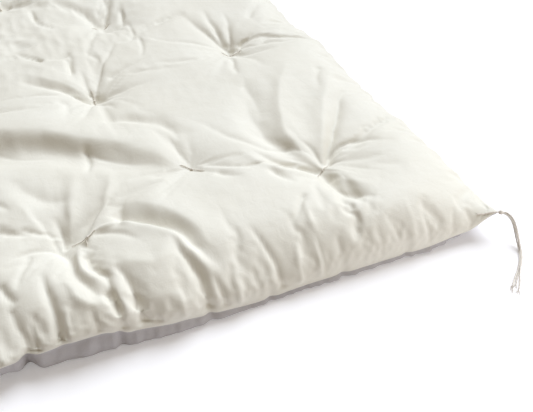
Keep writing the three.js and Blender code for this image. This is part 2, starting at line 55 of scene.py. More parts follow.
def makeCamera(spec):
    bpy.ops.object.camera_add(location=spec["place"])
    camera = bpy.context.object
    camera.name = "photoCamera"
    camera.rotation_euler = (math.radians(90 - spec["pitch"]), 0, -math.radians(spec["yaw"]))
    camera.data.lens = spec["lens"]
    camera.data.sensor_width = spec["sensor"]
    camera.data.dof.use_dof = False
    camera.data.clip_start = 0.02
    bpy.context.scene.camera = camera


makeCamera(photoCamera)
print("camera placed")

# The case of the futon: its size and the curve of its edge, as the solid has them, and the seam
# that only this script pinches
futonCase = {
    "width": 700.0,
    "length": 1200.0,
    "loft": 66.0,            # floor to the crown between two tufts
    "edgeRounding": 84.0,
    "edgeFullness": 2.35,
    "wallHeight": 50.0,      # about how high the edge climbs from the seam to the crown
    "tuftFlat": 3.0,         # flat middle of a tuft's dimple
    "swell": {"height": 3.0, "across": 58.0, "along": 74.0, "shiftAcross": 1.1, "shiftAlong": 0.4},
    "cornerThinning": 0.4,
    "cornerReach": 85.0,
    "earReach": 60.0,        # the corners stick out like ears, and the seam isn't pinched there
    "seamPinch": 3.4,        # how deep the seam is pulled in between the two panels
    "pinchHeight": 8.0,
    "pinchEases": {"share": 0.75, "start": -90.0, "over": 120.0},    # along the front, to the right
    "deepest": 17.0,         # no fold is deeper or higher
}

# knotOut is how far from the pinch the tie's knot lies
tuftColumns = ("x", "y", "depth", "reach", "turn", "knotOut")
tufts = [dict(zip(tuftColumns, row)) for row in (
    (164, -444, 15, 24, 25, 0),
    (-194, -456, 13, 24, -14, 21),
    (-8, -380, 5, 16, -55, 0),
    (168, -80, 15, 24, -35, 0),
    (-87, -132, 14, 24, 80, 0),
    (-18, 103, 14, 24, -10, 0),
    (172, 268, 15, 24, 40, 0),
    (-176, 258, 15, 24, -50, 0),
    (6, 440, 15, 24, 15, 0),
)]

# The seam along an end and along a side: place, bulge out of the straight line, height. The right
# part of the front seam lies lower than in the solid, as in the photograph.
endSeam = (
    (-350, 0, 36), (-290, -8, 29), (-239, -8, 31), (-195, -7, 32), (-160, -3, 24),
    (-101, 0, 18), (-55, -1, 12), (-5, -3, 7), (70, -4.8, 8), (160, -3.4, 8),
    (242, -2, 8), (304, -1, 15), (350, 0, 36),
)
sideSeam = (
    (-600, 3, 36), (-545, 5, 25), (-480, 5, 18), (-400, 0, 20), (-310, -9, 24),
    (-200, -5, 16), (-110, -4, 22), (0, -18, 18), (110, -17, 25), (220, -9, 15),
    (330, -13, 21), (430, -3, 17), (530, 4, 22), (600, 3, 36),
)

# Folds of the upper panel. height is a ridge if positive and a crease if negative, strength
# is its share at the start, and sharp makes the line crisp.
foldColumns = ("startX", "startY", "middleX", "middleY", "endX", "endY",
               "height", "left", "right", "spread", "strength", "sharp")
mainFolds = (
    # the long fold across the front left
    (-344, -172, -160, -249, -8, -386, 13, 62, 30, 0.6, 1, 0.18),
    (-344, -225, -160, -287, -24, -400, -15, 29, 38, 0.6, 1, 0.08),
    (-143, -282, -118, -312, -63, -357, -3, 5, 6, 1, 1, 0.9),
    (-279, -212, -242, -254, -179, -292, -3, 5, 6, 1, 1, 0.9),
    (-92, -232, -34, -252, 8, -325, -7, 13, 10, 1, 0.4, 0.2),
    (-188, -389, -227, -364, -259, -302, -4, 12, 12, 1, 0.6, 0.2),
    # round the front left tuft
    (-209, -460, -220, -434, -238, -390, -5, 9, 6, 1.3, 1, 0.7),
    (-211, -460, -229, -420, -261, -346, 4, 10, 6, 1.3, 0.7, 0.5),
    (-200, -457, -201, -437, -206, -409, -5, 5, 5, 1.2, 1, 0.7),
    (-192, -450, -182, -399, -168, -327, 5, 9, 10, 1.2, 0.5, 0.3),
    (-169, -462, -142, -414, -115, -340, 6, 7, 18, 1.2, 0.7, 0.8),
    (-140, -283, -144, -312, -151, -342, -7, 4, 6, 1, 1, 0.8),
    (-204, -468, -192, -539, -176, -573, -8, 7, 12, 1.2, 1, 0.7),
    (-192, -484, -182, -534, -160, -564, 4, 7, 6, 1, 0.6, 0.5),
    (-209, -464, -245, -466, -282, -479, -2.5, 4, 4, 1.2, 1, 0.9),
    (-214, -470, -239, -494, -255, -516, -2.5, 4, 4, 1.2, 1, 0.9),
    (-246, -475, -256, -500, -265, -524, -3.5, 4, 5, 1, 0.7, 0.9),
    # the crease between the two front tufts and the ridge along it
    (-172, -465, -138, -457, -95, -468, 4, 5, 5, 1, 0.8, 0.8),
    (-120, -456, -78, -504, -48, -584, 6, 6, 14, 0.9, 0.5, 0.8),
    (-114, -419, -63, -472, -26, -562, 7, 30, 13, 0.9, 0.2, 0.3),
    (-126, -448, -80, -488, -37, -570, -12, 14, 7, 1, 0.6, 0.5),
    (-130, -458, -124, -436, -112, -412, -5, 8, 7, 1, 0.8, 0.7),
    # the lobes above the front seam on the left
    (-208, -554, -196, -573, -176, -577, 5, 18, 5, 1, 0.7, 0.3),
    (-135, -526, -102, -538, -83, -511, 3, 16, 10, 1, 0.7, 0.2),
    (-273, -367, -266, -374, -258, -385, -3, 5, 7, 1, 1, 0.6),
    (-279, -509, -274, -530, -267, -541, -6, 5, 7, 1, 1, 0.6),
    (-256, -567, -254, -581, -250, -591, -3, 4, 5, 1, 1, 0.7),
    (-172, -566, -166, -581, -160, -594, -5, 5, 6, 1, 1, 0.7),
    (-180, -499, -173, -526, -161, -544, -4, 5, 7, 1, 1, 0.6),
    (-159, -464, -130, -480, -115, -496, -3, 4, 7, 1, 1, 0.5),
    # round the tuft near the photographed corner
    (175, -432, 235, -355, 317, -248, -8, 9, 7, 1.3, 1, 0.8),
    (169, -432, 218, -342, 316, -190, 6, 14, 9, 1.6, 0.5, 0.3),
    (180, -431, 220, -416, 293, -437, -6, 6, 7, 1.3, 1, 0.8),
    (157, -468, 164, -508, 195, -539, -13, 10, 14, 1.1, 1, 0.6),
    (167, -452, 181, -491, 208, -519, 5, 20, 9, 1.1, 0.7, 0.5),
    (173, -438, 187, -439, 202, -445, -3, 4, 4, 1, 1, 0.9),
    (166, -428, 162, -408, 153, -389, -4, 6, 6, 1, 0.8, 0.7),
    (161, -438, 154, -331, 247, -156, 8, 13, 34, 1, 0.7, 0.4),
    (130, -397, 116, -326, 144, -203, -8, 20, 15, 0.9, 0.8, 0.3),
    (141, -221, 136, -281, 128, -322, -4, 14, 9, 1, 0.7, 0.4),
    (134, -395, 86, -369, 27, -277, -4, 7, 8, 1.2, 0.8, 0.6),
    (153, -446, 109, -422, 77, -376, -6, 7, 7, 1, 0.8, 0.5),
    (145, -461, 101, -440, 63, -373, 4, 7, 6, 1, 0.6, 0.5),
    (89, -438, 98, -456, 110, -474, -4, 6, 6, 1, 0.6, 0.4),
    (104, -505, 91, -522, 72, -543, -4, 5, 5, 1, 1, 0.9),
    # round the tufts further back
    (172, -72, 152, -19, 128, 71, -8, 14, 9, 1.2, 1, 0.7),
    (171, -54, 173, -3, 177, 68, -6, 7, 7, 1, 0.8, 0.6),
    (177, -62, 194, -29, 214, 44, -5, 5, 6, 1, 1, 0.7),
    (182, -79, 203, -66, 229, -47, -6, 6, 7, 1, 1, 0.6),
    (249, 4, 273, 35, 302, 73, -5, 6, 6, 1, 0.8, 0.6),
    (176, -93, 214, -118, 299, -112, -4, 7, 9, 1, 0.8, 0.5),
    (195, -68, 255, -41, 336, -11, -3, 8, 9, 1, 0.8, 0.4),
    (156, -112, 147, -151, 142, -185, -5, 5, 6, 1, 1, 0.6),
    (-93, -129, -140, -93, -200, -36, 7, 12, 26, 1.6, 0.8, 0.4),
    (-95, -142, -140, -112, -207, -62, -10, 7, 14, 1.5, 1, 0.5),
    (-87, -132, -61, -140, 35, -141, -6, 8, 14, 1.4, 1, 0.6),
    (-93, -122, -97, -100, -99, -59, -5, 6, 6, 1.2, 1, 0.6),
    (-83, -119, -54, -58, -5, 12, -4, 5, 5, 1.1, 1, 0.9),
    (-50, -96, -23, -83, 33, -68, -4, 7, 7, 1, 1, 0.6),
    (-111, -10, -128, -13, -150, -11, -5, 6, 12, 1, 1, 0.6),
    (-113, -68, -105, -31, -104, 11, -4, 5, 5, 1, 1, 0.7),
    (-92, -158, -77, -173, -69, -201, -3, 5, 5, 1, 1, 0.6),
    (-96, -152, -108, -182, -122, -211, -3, 5, 5, 1, 1, 0.8),
    (30, 21, 81, 51, 145, 84, -6, 7, 7, 1.2, 0.5, 0.7),
    (26, 19, 26, 52, 29, 91, -3, 4, 4, 1, 1, 0.8),
    (22, 13, 7, 0, -16, 2, -3, 4, 4, 1, 1, 0.8),
    (30, 2, 23, -32, 12, -66, -3, 4, 4, 1, 1, 0.8),
    (-23, 107, -34, 138, -52, 183, -7, 9, 9, 1.2, 1, 0.6),
    (-14, 107, -1, 136, 27, 190, -7, 7, 7, 1.2, 1, 0.6),
    (-17, 75, 1, 71, 36, 87, -5, 8, 8, 1.2, 1, 0.4),
    (-129, 148, -130, 173, -132, 198, -8, 5, 5, 1, 1, 0.8),
    (-152, 60, -184, 52, -216, 47, -7, 4, 5, 1, 0.6, 0.8),
    (-157, -8, -174, 16, -190, 42, -7, 5, 4, 1, 1, 0.8),
    (-192, 20, -205, 20, -222, 8, -6, 5, 4, 1, 1, 0.8),
    (-222, 96, -196, 104, -170, 92, -6, 5, 5, 1, 1, 0.8),
    (-128, 130, -109, 114, -88, 100, -5, 4, 5, 1, 1, 0.8),
    (-111, -26, -110, -48, -113, -74, -5, 4, 5, 1, 0.8, 0.8),
    (30, 128, 24, 98, 17, 68, -5, 4, 5, 1, 0.8, 0.8),
    (80, 48, 113, 57, 142, 62, -7, 7, 5, 1, 0.8, 0.7),
    (24, -417, 34, -428, 46, -440, -3, 7, 7, 1, 1, 0.5),
    (275, -216, 260, -244, 241, -280, -3, 6, 8, 1, 1, 0.5),
    (-150, -153, -141, -172, -157, -212, -3, 8, 8, 1, 1, 0.5),
    (-180, 67, -165, 69, -151, 67, -3, 5, 5, 1, 1, 0.6),
    (173, -107, 189, -146, 199, -187, -3, 8, 8, 1, 1, 0.3),
    (18, 94, 25, 112, 26, 138, -4, 5, 5, 1, 1, 0.6),
    (-14, 145, -6, 162, 7, 184, -4, 4, 4, 1, 1, 0.6),
    # round the tufts that the photograph leaves out
    (-12, 112, 8, 176, -8, 236, -6, 8, 10, 1.4, 1, 0.6),
    (172, 278, 130, 330, 92, 400, -7, 8, 12, 1.6, 1, 0.6),
    (180, 264, 230, 240, 300, 206, -6, 8, 10, 1.5, 1, 0.6),
    (166, 262, 140, 236, 96, 220, -6, 7, 9, 1.3, 1, 0.6),
    (180, 276, 220, 330, 240, 410, 5, 10, 12, 1.4, 0.6, 0.3),
    (-182, 252, -222, 200, -236, 120, -7, 9, 9, 1.6, 1, 0.6),
    (-172, 264, -140, 330, -150, 410, -6, 8, 12, 1.5, 1, 0.6),
    (-168, 254, -120, 236, -60, 250, -6, 9, 8, 1.3, 1, 0.5),
    (-184, 264, -230, 300, -290, 310, 5, 10, 12, 1.4, 0.6, 0.3),
    (12, 446, 60, 470, 110, 530, -7, 8, 9, 1.6, 1, 0.6),
    (0, 446, -50, 470, -96, 524, -6, 8, 9, 1.5, 1, 0.6),
    (8, 432, 30, 380, 70, 330, -6, 9, 8, 1.5, 1, 0.6),
    (2, 432, -40, 380, -60, 320, 5, 12, 12, 1.4, 0.6, 0.3),
    (-330, 150, -270, 60, -300, -40, -5, 16, 22, 1, 0.4, 0.2),
    (60, 330, 20, 290, -60, 330, -4, 14, 20, 1, 0.4, 0.1),
)

# Gathers along the front seam: place, sideways lean of the head, reach inwards, height and how
# far the gather runs out on its left and on its right
gatherColumns = ("at", "lean", "reach", "height", "left", "right")
frontGathers = (
    (-318, -6, 60, -6, 8, 9), (-298, -8, 50, 4, 8, 10), (-269, -11, 66, -5, 8, 9),
    (-263, 2, 33, -5, 6, 6), (-234, -2, 94, -10.5, 9, 7.5), (-226, 4, 36, 5, 6, 12),
    (-193, -2, 24, -4, 7, 7), (-163, -13, 39, -6, 7, 9), (-141, -11, 73, -13, 10, 18),
    (-125, 1, 18, -2.5, 5, 5), (-95, 4, 20, 3, 7, 7), (-60, -20, 94, -9, 13, 9),
    (-39, -13, 26, -5, 8, 6), (-23, 2, 24, 4, 7, 7), (5, -3, 24, -2.4, 5.1, 5.1),
    (36, -20, 71, -4.8, 6, 7.6), (58, 7, 32, 3.6, 7.6, 5.1), (88, 12, 90, 4.2, 6.8, 9.3),
    (92, -1, 50, -4.8, 5.1, 7.6),
    (150, -2, 36, -1.4, 10.1, 6.5), (175, 3, 26, -1.2, 3.6, 3.6), (206, -17, 35, -2.2, 5.1, 5.8),
    (224, 1, 50, 1.6, 5.1, 7.2), (248, -7, 28, -2.6, 4.3, 6.5), (280, 20, 26, -2.4, 4.3, 5.8),
    (310, 4, 24, -1.4, 2.9, 3.6),
)
# Gathers along the other seams follow one rhythm, made uneven by a seeded draw
evenGathering = {
    "spacing": 46, "jitter": 14, "lean": 12, "height": 5, "reach": 60, "left": 9, "right": 11,
    "heightShare": 0.8, "reachShare": 0.95, "uneven": 0.35,
    "rightSide": 0.4,        # share of the height along the right side, which is smooth
}
# What all gathers have in common: they start outside the seam and narrow towards their head
gatherShape = {"start": -10, "middleLean": 0.4, "middleReach": 0.45, "spread": 0.5, "strength": 1,
               "sharp": 0.8}
foldShape = {
    "points": 13,            # along its line
    "tip": 0.6,              # roundness of a crisp fold's line
    "rise": 0.3,             # share of its length over which a fold gains its strength
    "fall": 2.5,             # how late it sinks back into the cloth
    "crispFall": 1.6,        # how fast a crisp fold falls away from its line
    "sideBlend": 6.0,        # width over which its left passes into its right
    "reach": 3.2,            # widths after which nothing is left of it
}
seeds = {"ripple": 7, "right": 11, "left": 23, "back": 37, "wander": (101, 201), "crumple": 301,
         "pucker": 401, "pleat": 501, "tie": 31, "tassel": 61}

# Small unevenness of the cloth: every fold's line wanders, the fields are lightly crumpled and
# the sewn edge puckers
cloth = {
    "wander": ((85, 1.8), (34, 0.5)),        # wavelength and how far a line is led aside
    "wanderFade": 30.0,                      # it dies out over this distance from the seam
    "crumple": ((95, 1.9), (48, 1.0)),       # wavelength and height of the crisp small ridges
    "crumpleLevel": 0.55,                    # where the ridges begin
    "crumpleFade": 12.0,
    "crumpledCorner": {"x": -190, "y": 170, "reach": 200, "rest": 0.12},
    "pucker": ((23, 0.5), (14.5, 0.5)),
    "puckerReach": 9.0,
    "pleat": ((27, 1.6), (14, 0.9)),         # of the underside below the seam
    "pleatFade": 2.4,
    "seamFade": 0.7,
    # height of the wall over which folds die out, on the left and how much more on the right
    "wallFade": {"left": 4.5, "more": 6.5, "start": -120.0, "over": 200.0},
}
# Places where the front edge is tucked in under the lobes
tuckColumns = ("at", "depth", "width")
frontTucks = ((-277, 13, 8), (-236, 3, 8), (-172, 5, 6), (-62, 4, 6), (18, 3, 6), (120, 3, 7),
              (215, 3, 6))
tuckShape = {"low": 22.0, "fade": 16.0, "frontOf": -540.0}

# The mesh of the upper panel and how its cloth is simulated
panelMesh = {
    "rim": (0, 0.15, 0.6, 1.6, 3.2, 5.5, 8.6, 12.5, 17),     # first lines from the seam
    "columns": 112,
    "frontRows": 112,
    "backRows": 42,
    "tuftDraw": 0.36,        # how much closer the mesh lines lie round a tuft
    "tuftReach": 46.0,
    "edgeFree": 9.0,         # and where they stay straight along the seam
}
clothRun = {
    "frames": 24,
    "pressure": 2.2,
    "slackBetween": 0.014,   # spare cloth in the middle of a field
    "slackGathered": 0.03,   # spare cloth at the seam and round a tuft
    "gatheredSeam": 60.0,
    "gatheredTuft": 62.0,
    "pinnedSeam": 6.0,
    "pinnedTuft": (4.0, 5.0),                # held inside the first, free outside both
    "leastPinned": 0.03,
    "ripple": {"height": 0.12, "length": 30.0, "fade": 20.0},    # lets the cloth buckle
    "quality": 6,
    "mass": 0.2,
    "stretching": 18.0,
    "shearing": 6.0,
    "bending": 0.12,
    "damping": 4.0,
    "bendingDamping": 0.5,
    "cap": 10.0,             # no point moves further than this
}

halfWidth = futonCase["width"] / 2
halfLength = futonCase["length"] / 2


def smooth(value):
    t = np.clip(value, 0, 1)
    return t * t * (3 - 2 * t)


def fromEdges(u, v):
    return halfWidth - abs(u), halfLength - abs(v)


def fromSeam(u, v):
    return np.minimum(*fromEdges(u, v))


def readSeam(table, at):
    rows = np.array(table, float)
    after = np.clip(np.searchsorted(rows[:, 0], at), 1, len(rows) - 1)
    t = smooth((at - rows[after - 1, 0]) / (rows[after, 0] - rows[after - 1, 0]))[..., None]
    both = rows[after - 1, 1:] * (1 - t) + rows[after, 1:] * t
    return both[..., 0], both[..., 1]


def seamAt(u, v):
    # opposite sides read the same table turned round
    sideOut, sideHigh = readSeam(sideSeam, np.where(u >= 0, v, -v))
    endOut, endHigh = readSeam(endSeam, np.where(v <= 0, u, -u))
    fromSide, fromEnd = fromEdges(u, v)
    share = (fromEnd + 1e-6) / (fromSide + fromEnd + 2e-6)
    return sideOut, endOut, sideHigh * share + endHigh * (1 - share)


def edgeProfile(distance):
    fullness = futonCase["edgeFullness"]
    left = 1 - np.clip(distance / futonCase["edgeRounding"], 0, 1)
    return (1 - left ** fullness) ** (1 / fullness)


def basePoints(u, v):
    # the filled shape before its folds
    sideOut, endOut, seamHigh = seamAt(u, v)
    fromSide, fromEnd = fromEdges(u, v)
    corner = np.exp(-(np.hypot(fromSide, fromEnd) / futonCase["cornerReach"]) ** 2)
    wave = futonCase["swell"]
    swell = (wave["height"] * np.sin(u / wave["across"] + wave["shiftAcross"])
             * np.sin(v / wave["along"] + wave["shiftAlong"]))
    crown = (futonCase["loft"] + swell) * (1 - futonCase["cornerThinning"] * corner)
    for tuft in tufts:
        away = np.hypot(u - tuft["x"], v - tuft["y"])
        sloping = np.clip(away - futonCase["tuftFlat"], 0, None)
        crown = crown - tuft["depth"] * np.exp(-sloping / tuft["reach"])
    share = edgeProfile(fromSide) * edgeProfile(fromEnd)
    high = seamHigh + (np.maximum(crown, seamHigh) - seamHigh) * share
    return np.stack([u * (1 + sideOut / halfWidth), v * (1 + endOut / halfLength), high], -1)


def foldChain(fold):
    fold = dict(zip(foldColumns, fold))
    t = np.linspace(0, 1, foldShape["points"])
    ends = [np.array([fold[k + "X"], fold[k + "Y"]], float) for k in ("start", "middle", "end")]
    bend = 2 * ends[1] - (ends[0] + ends[2]) / 2
    line = (np.outer((1 - t) ** 2, ends[0]) + np.outer(2 * t * (1 - t), bend)
            + np.outer(t ** 2, ends[2]))
    rise = fold["strength"] + (1 - fold["strength"]) * smooth(t / foldShape["rise"])
    spread = 1 + (fold["spread"] - 1) * t
    return (line, fold["left"] * spread, fold["right"] * spread,
            fold["height"] * rise * (1 - t ** foldShape["fall"]), fold["sharp"])


def foldHeights(chains, u, v):
    # each fold falls away from its line at one width on its left and at another on its right
    total = np.zeros(u.shape)
    tip = foldShape["tip"]
    for line, left, right, height, sharp in chains:
        reach = foldShape["reach"] * max(left.max(), right.max())
        near = ((u > line[:, 0].min() - reach) & (u < line[:, 0].max() + reach)
                & (v > line[:, 1].min() - reach) & (v < line[:, 1].max() + reach))
        pu, pv = u[near], v[near]
        best, added = np.full(pu.shape, np.inf), np.zeros(pu.shape)
        for k in range(1, len(line)):
            (x, y), (dx, dy) = line[k - 1], line[k] - line[k - 1]
            t = np.clip(((pu - x) * dx + (pv - y) * dy) / (dx * dx + dy * dy), 0, 1)
            away = np.hypot(pu - x - dx * t, pv - y - dy * t)
            aside = ((pv - y) * dx - (pu - x) * dy) / math.hypot(dx, dy)
            onLeft = smooth(0.5 + aside / foldShape["sideBlend"])
            width = right[k - 1] + (right[k] - right[k - 1]) * t
            width = width + (left[k - 1] + (left[k] - left[k - 1]) * t - width) * onLeft
            scaled = away / width
            crisp = (np.sqrt(away ** 2 + tip ** 2) - tip) / width
            peak = height[k - 1] + (height[k] - height[k - 1]) * t
            shape = (1 - sharp) * np.exp(-scaled ** 2)
            shape = shape + sharp * np.exp(-foldShape["crispFall"] * crisp)
            closer = away < best
            best = np.where(closer, away, best)
            added = np.where(closer, peak * shape, added)
        total[near] += added
    return total


def gatherFold(gather, side):
    inward = {"front": (0, 1), "back": (0, -1), "right": (-1, 0), "left": (1, 0)}[side]
    edge = np.array([-inward[0] * halfWidth, -inward[1] * halfLength])
    along = np.array([abs(inward[1]), abs(inward[0])])

    def place(at, depth):
        return edge + along * at + np.array(inward) * depth

    shape = gatherShape
    at, lean, reach = gather["at"], gather["lean"], gather["reach"]
    points = (*place(at, shape["start"]),
              *place(at + lean * shape["middleLean"], reach * shape["middleReach"]),
              *place(at + lean, reach))
    return (*points, gather["height"], gather["left"], gather["right"],
            shape["spread"], shape["strength"], shape["sharp"])


drawFactor, drawRange = 16807, 2147483647


def seededDraw(seed):
    # uneven numbers between -1 and 1, the same ones each run
    state = seed
    while True:
        state = (state * drawFactor) % drawRange
        yield state / drawRange * 2 - 1


def evenGathers(side, half, seed, share=1.0):
    spec, draw = evenGathering, seededDraw(seed)
    last = half - spec["spacing"]
    folds = []
    for k, at in enumerate(np.arange(-last, last + 1, spec["spacing"] / 2)):
        height = (1 if k % 2 == 0 else -1) * spec["height"] * share
        height *= spec["heightShare"] + spec["uneven"] * next(draw)
        reach = spec["reach"] * (spec["reachShare"] + spec["uneven"] * next(draw))
        moved = at + spec["jitter"] / 2 * next(draw)
        folds.append(gatherFold({"at": moved, "lean": spec["lean"] * next(draw), "reach": reach,
                                 "height": height, "left": spec["left"], "right": spec["right"]}, side))
    return folds


def gridLines(half, rim, first, second):
    inner = half - rim[-1]
    lines = [-half + inset for inset in rim]
    lines += list(np.linspace(-inner, 0, first + 1)[1:])
    lines += list(np.linspace(0, inner, second + 1)[1:])
    return np.array(lines + [half - inset for inset in rim[-2::-1]])


def drawnIn(u, v):
    # mesh lines crowd in round each tuft
    edge = smooth(fromSeam(u, v) / panelMesh["edgeFree"])
    movedU, movedV = u.copy(), v.copy()
    for tuft in tufts:
        away = np.hypot(u - tuft["x"], v - tuft["y"])
        pull = panelMesh["tuftDraw"] * edge * np.exp(-(away / panelMesh["tuftReach"]) ** 2)
        movedU += (tuft["x"] - u) * pull
        movedV += (tuft["y"] - v) * pull
    return movedU, movedV


def gridNormals(points):
    along = np.gradient(points, axis=0)
    across = np.gradient(points, axis=1)
    normals = np.cross(across, along)
    return normals / np.maximum(np.linalg.norm(normals, axis=-1, keepdims=True), 1e-9)


def waves(u, v, wavelength, seed, count=7, vary=0.3):
    # smooth uneven waves between about -1 and 1, from sines in seeded directions
    draw = seededDraw(seed)
    total = np.zeros(np.shape(u))
    for _ in range(count):
        turn, shift = math.pi * next(draw), math.pi * next(draw)
        length = wavelength * (1 + vary * next(draw))
        along = u * math.cos(turn) + v * math.sin(turn)
        total = total + np.sin(along * 2 * math.pi / length + shift)
    return total / math.sqrt(count)


def uneven(along, bands, seed):
    # small waves along a seam
    return sum(high * waves(along, 0 * along, length, seed + k, count=4)
               for k, (length, high) in enumerate(bands))


def crumple(u, v):
    # crisp small ridges, most of all towards the crumpled corner
    corner = cloth["crumpledCorner"]
    near = np.exp(-(np.hypot(u - corner["x"], v - corner["y"]) / corner["reach"]) ** 2)
    ridges = sum(high * (cloth["crumpleLevel"] - np.abs(waves(u, v, length, seeds["crumple"] + k)))
                 for k, (length, high) in enumerate(cloth["crumple"]))
    return ridges * (corner["rest"] + (1 - corner["rest"]) * near)


def raised(points, u, v, chains):
    # folds stand up along the face and end where the panels are sewn together
    fromSide, fromEnd = fromEdges(u, v)
    inwards = fromSeam(u, v)
    led = [sum(far * waves(u, v, length, seed + k) for k, (length, far) in enumerate(cloth["wander"]))
           for seed in seeds["wander"]]
    inner = smooth(inwards / cloth["wanderFade"])
    heights = foldHeights(chains, u + led[0] * inner, v + led[1] * inner)
    along = np.where(fromSide < fromEnd, v, u)
    wall = edgeProfile(inwards) * futonCase["wallHeight"]
    heights = futonCase["deepest"] * np.tanh(heights / futonCase["deepest"])
    fade = cloth["wallFade"]
    high = fade["left"] + fade["more"] * smooth((u - fade["start"]) / fade["over"])
    heights *= smooth(wall / high)
    heights += uneven(along, cloth["pucker"], seeds["pucker"]) * np.exp(-wall / cloth["puckerReach"])
    heights += crumple(u, v) * smooth(inwards / cloth["crumpleFade"])
    heights *= smooth(inwards / cloth["seamFade"])
    return points + gridNormals(points) * heights[..., None]


def tuckedIn(points):
    # the front edge goes in at each tuck, most of all low down
    moved = points.copy()
    for tuck in (dict(zip(tuckColumns, row)) for row in frontTucks):
        share = np.exp(-((points[..., 0] - tuck["at"]) / tuck["width"]) ** 2)
        above = np.clip(points[..., 2] - tuckShape["low"], 0, None)
        share = share * np.exp(-above / tuckShape["fade"]) * (points[..., 1] < tuckShape["frontOf"])
        moved[..., 1] += tuck["depth"] * share
    return moved


def addGrid(name, points):
    # a primitive grid whose points are then placed, row by row
    rows, columns = points.shape[:2]
    bpy.ops.object.select_all(action="DESELECT")
    bpy.ops.mesh.primitive_grid_add(x_subdivisions=columns - 1, y_subdivisions=rows - 1, size=2)
    grid = bpy.context.object
    grid.name = name
    grid.data.vertices.foreach_set("co", (points * mm).astype(np.float32).ravel())
    grid.data.update()
    return grid


def pointsOf(obj, shape):
    flat = np.zeros(len(obj.data.vertices) * 3, np.float32)
    obj.data.vertices.foreach_get("co", flat)
    return flat.reshape(*shape, 3) / mm


leastWeight = 0.001          # lighter points stay out of a group


def weightGroup(obj, name, weights):
    group = obj.vertex_groups.new(name=name)
    for index, weight in enumerate(weights.ravel()):
        if weight > leastWeight:
            group.add([index], float(weight), "REPLACE")
    return group.name


def simulatePanel(points, u, v):
    # the panel has spare cloth that the seam and the tufts hold in, so it gathers there
    run = clothRun
    panel = addGrid("upperPanel", points)
    fromEdge = fromSeam(u, v)
    toTuft = np.min([np.hypot(u - t["x"], v - t["y"]) for t in tufts], axis=0)
    gathered = np.maximum(np.exp(-(fromEdge / run["gatheredSeam"]) ** 2),
                          np.exp(-(toTuft / run["gatheredTuft"]) ** 2))
    held, fading = run["pinnedTuft"]
    pinned = np.maximum(smooth(1 - fromEdge / run["pinnedSeam"]), smooth(1 - (toTuft - held) / fading))
    draping = panel.modifiers.new("draping", "CLOTH")
    settings = draping.settings
    settings.quality = run["quality"]
    settings.mass = run["mass"]
    settings.tension_stiffness = settings.compression_stiffness = run["stretching"]
    settings.shear_stiffness = run["shearing"]
    settings.bending_stiffness = run["bending"]
    settings.tension_damping = settings.compression_damping = run["damping"]
    settings.bending_damping = run["bendingDamping"]
    settings.effector_weights.gravity = 0
    settings.use_pressure = True
    settings.uniform_pressure_force = run["pressure"]
    settings.vertex_group_mass = weightGroup(panel, "pinned", np.maximum(pinned, run["leastPinned"]))
    settings.vertex_group_shrink = weightGroup(panel, "gathered", gathered)
    settings.shrink_min = -run["slackBetween"]
    settings.shrink_max = -run["slackGathered"]
    scene = bpy.context.scene
    draping.point_cache.frame_start, draping.point_cache.frame_end = 1, run["frames"]
    for frameNumber in range(1, run["frames"] + 1):
        scene.frame_set(frameNumber)
    bpy.context.view_layer.objects.active = panel
    bpy.ops.object.modifier_apply(modifier="draping")
    scene.frame_set(1)
    moved = pointsOf(panel, points.shape[:2]) - points
    bpy.data.objects.remove(panel)
    far = np.linalg.norm(moved, axis=-1, keepdims=True)
    cap = run["cap"]
    print(f"cloth moved {far.mean():.1f} mm on average, {far.max():.1f} mm at most")
    return points + moved * np.minimum(1, cap * np.tanh(far / cap) / np.maximum(far, 1e-6))


def refined(values):
    # one subdivision of a grid, each new line through four neighbours
    for axis in (0, 1):
        rows = np.moveaxis(values, axis, 0)
        ends = np.concatenate([2 * rows[:1] - rows[1:2], rows, 2 * rows[-1:] - rows[-2:-1]])
        middle = (9 * (ends[1:-2] + ends[2:-1]) - ends[:-3] - ends[3:]) / 16
        fine = np.zeros((2 * len(rows) - 1, *rows.shape[1:]))
        fine[0::2], fine[1::2] = rows, middle
        values = np.moveaxis(fine, 0, axis)
    return values


def makeUpperPanel():
    half = panelMesh["columns"] // 2
    columns = gridLines(halfWidth, panelMesh["rim"], half, half)
    rows = gridLines(halfLength, panelMesh["rim"], panelMesh["frontRows"], panelMesh["backRows"])
    u, v = drawnIn(*np.meshgrid(columns, rows))
    gathers = [gatherFold(dict(zip(gatherColumns, row)), "front") for row in frontGathers]
    gathers += evenGathers("right", halfLength, seeds["right"], evenGathering["rightSide"])
    gathers += evenGathers("left", halfLength, seeds["left"])
    gathers += evenGathers("back", halfWidth, seeds["back"])
    chains = [foldChain(fold) for fold in (*mainFolds, *gathers)]
    points = basePoints(u, v)
    ripple = clothRun["ripple"]
    rippled = ripple["height"] * waves(u, v, ripple["length"], seeds["ripple"])
    points[..., 2] += rippled * smooth(fromSeam(u, v) / ripple["fade"])
    points = simulatePanel(points, u, v)
    points, u, v = refined(points), refined(u), refined(v)
    return raised(points, u, v, chains), u, v


# The underside from the seam down: inset and share of the seam's height on a straight edge, then
# at a corner ear
undersideColumns = ("edgeInset", "edgeHigh", "earInset", "earHigh")
undersideRings = (
    (1.8, 0.88, 1.0, 0.9), (-1.2, 0.64, 6, 0.7), (-1.6, 0.38, 13, 0.46), (0, 0.18, 20, 0.28),
    (3.5, 0.04, 32, 0.1), (9, 0, 48, 0),
)
# The dimple that a tuft pulls into the underside: radius and rise of its rings, and its small folds
undersidePit = {
    "rings": ((30, 0), (24, 0.8), (18, 2.1), (12, 3.9), (6, 5.4), (2, 6)),
    "sides": 24,
    "folds": 7,
    "foldHeight": 0.9,
}


